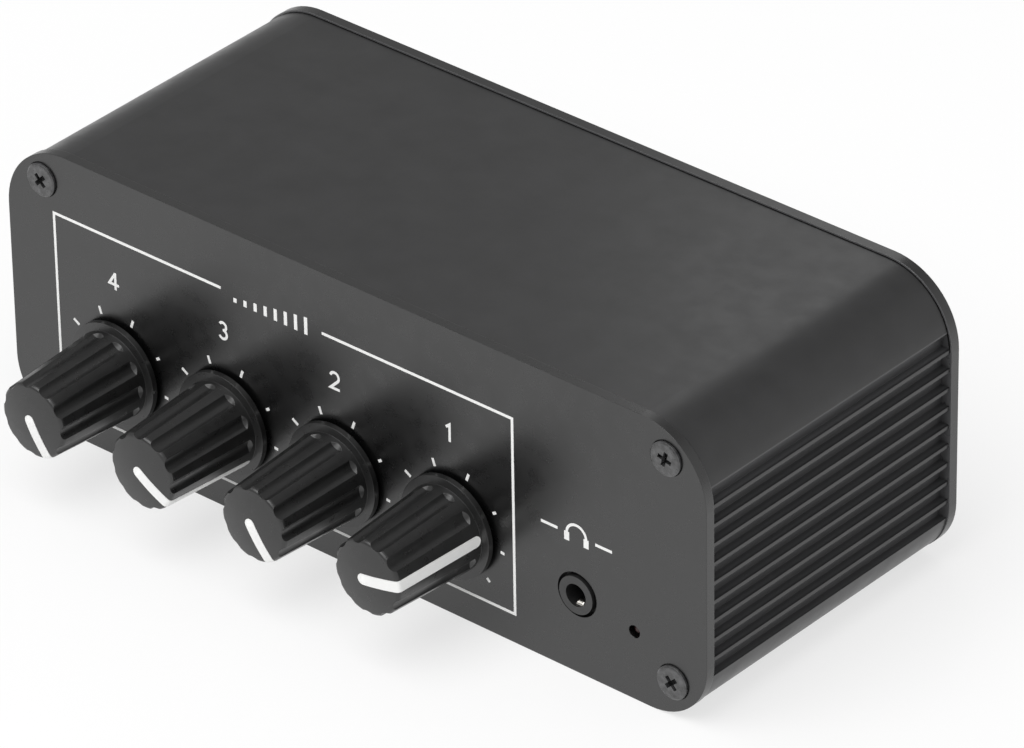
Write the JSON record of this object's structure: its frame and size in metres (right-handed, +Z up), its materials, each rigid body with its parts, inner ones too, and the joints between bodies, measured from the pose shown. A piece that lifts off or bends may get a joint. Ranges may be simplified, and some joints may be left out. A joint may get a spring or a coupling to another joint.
{
  "type": "stereo mixer",
  "caption": "Small desktop audio mixer: black extruded case with ribbed sides, pointer knobs, headphone jack and pilot lamp in front, phono sockets and a power inlet behind.",
  "frame": {"origin": "middle of the flat underside of the case, halfway between the outside faces of the two panels", "axes": "+X to the right seen from the front, +Y from the front panel to the rear panel, +Z up"},
  "size_m": [0.13, 0.0824, 0.047],
  "materials": {
    "case_black": "satin black anodised",
    "panel_black": "satin black anodised",
    "screw_black": "black oxide",
    "board_green": "solder mask",
    "steel": "bright",
    "nickel": "nickel plated",
    "brass": "bright",
    "phenolic": "matt",
    "plastic_black": "moulded",
    "knob_black": "moulded, satin",
    "pointer_white": "painted line",
    "lamp_lens": "dark tinted lens",
    "insert_white": "moulded",
    "insert_red": "moulded",
    "can_sleeve": "shrunk sleeve",
    "film_red": "dipped"
  },
  "bodies": {
    "case": {"case_shell": "case_black", "front_panel": "panel_black", "rear_panel": "panel_black", "front_screws": "screw_black", "rear_screws": "screw_black", "main_board": "board_green", "pot_bushings": "steel", "pot_wafers": "phenolic", "pot_pins": "steel", "pot_nuts": "steel", "pot_washers": "steel", "phones_jack": "plastic_black", "phones_contacts": "steel", "pilot_lamp": "lamp_lens", "pilot_lamp_leads": "steel", "phono_inserts_white": "insert_white", "phono_inserts_red": "insert_red", "phono_contacts": "brass", "phono_pins": "steel", "power_inlet": "plastic_black", "power_inlet_pin": "steel", "power_inlet_contacts": "steel", "op_amps": "plastic_black", "op_amp_leads": "steel", "electrolytic_capacitors": "can_sleeve", "film_capacitors": "film_red", "resistors": "plastic_black", "regulator": "plastic_black", "pot_housing_1": "plastic_black", "pot_housing_2": "plastic_black", "pot_housing_3": "plastic_black", "pot_housing_4": "plastic_black", "phono_housing_1": "plastic_black", "phono_barrels_1": "nickel", "phono_housing_2": "plastic_black", "phono_barrels_2": "nickel", "phono_housing_3": "plastic_black", "phono_barrels_3": "nickel", "phono_housing_4": "plastic_black", "phono_barrels_4": "nickel", "phono_housing_5": "plastic_black", "phono_barrels_5": "nickel"},
    "volume_knob_1": {"knob_1": "knob_black", "pointer_1": "pointer_white", "pot_shaft_1": "steel", "pot_wipers_1": "brass"},
    "volume_knob_2": {"knob_2": "knob_black", "pointer_2": "pointer_white", "pot_shaft_2": "steel", "pot_wipers_2": "brass"},
    "volume_knob_3": {"knob_3": "knob_black", "pointer_3": "pointer_white", "pot_shaft_3": "steel", "pot_wipers_3": "brass"},
    "volume_knob_4": {"knob_4": "knob_black", "pointer_4": "pointer_white", "pot_shaft_4": "steel", "pot_wipers_4": "brass"}
  },
  "joints": [
    {"name": "volume_1", "type": "hinge", "parent": "case", "child": "volume_knob_1", "pos_m": [0.01893, -0.0275, 0.0151], "axis": [0, 1, 0], "range_deg": [-237, 73]},
    {"name": "volume_2", "type": "hinge", "parent": "case", "child": "volume_knob_2", "pos_m": [-0.00222, -0.0275, 0.0151], "axis": [0, 1, 0], "range_deg": [-305, 5]},
    {"name": "volume_3", "type": "hinge", "parent": "case", "child": "volume_knob_3", "pos_m": [-0.02337, -0.0275, 0.0151], "axis": [0, 1, 0], "range_deg": [-281, 29]},
    {"name": "volume_4", "type": "hinge", "parent": "case", "child": "volume_knob_4", "pos_m": [-0.04453, -0.0275, 0.0151], "axis": [0, 1, 0], "range_deg": [-309, 1]}
  ]
}
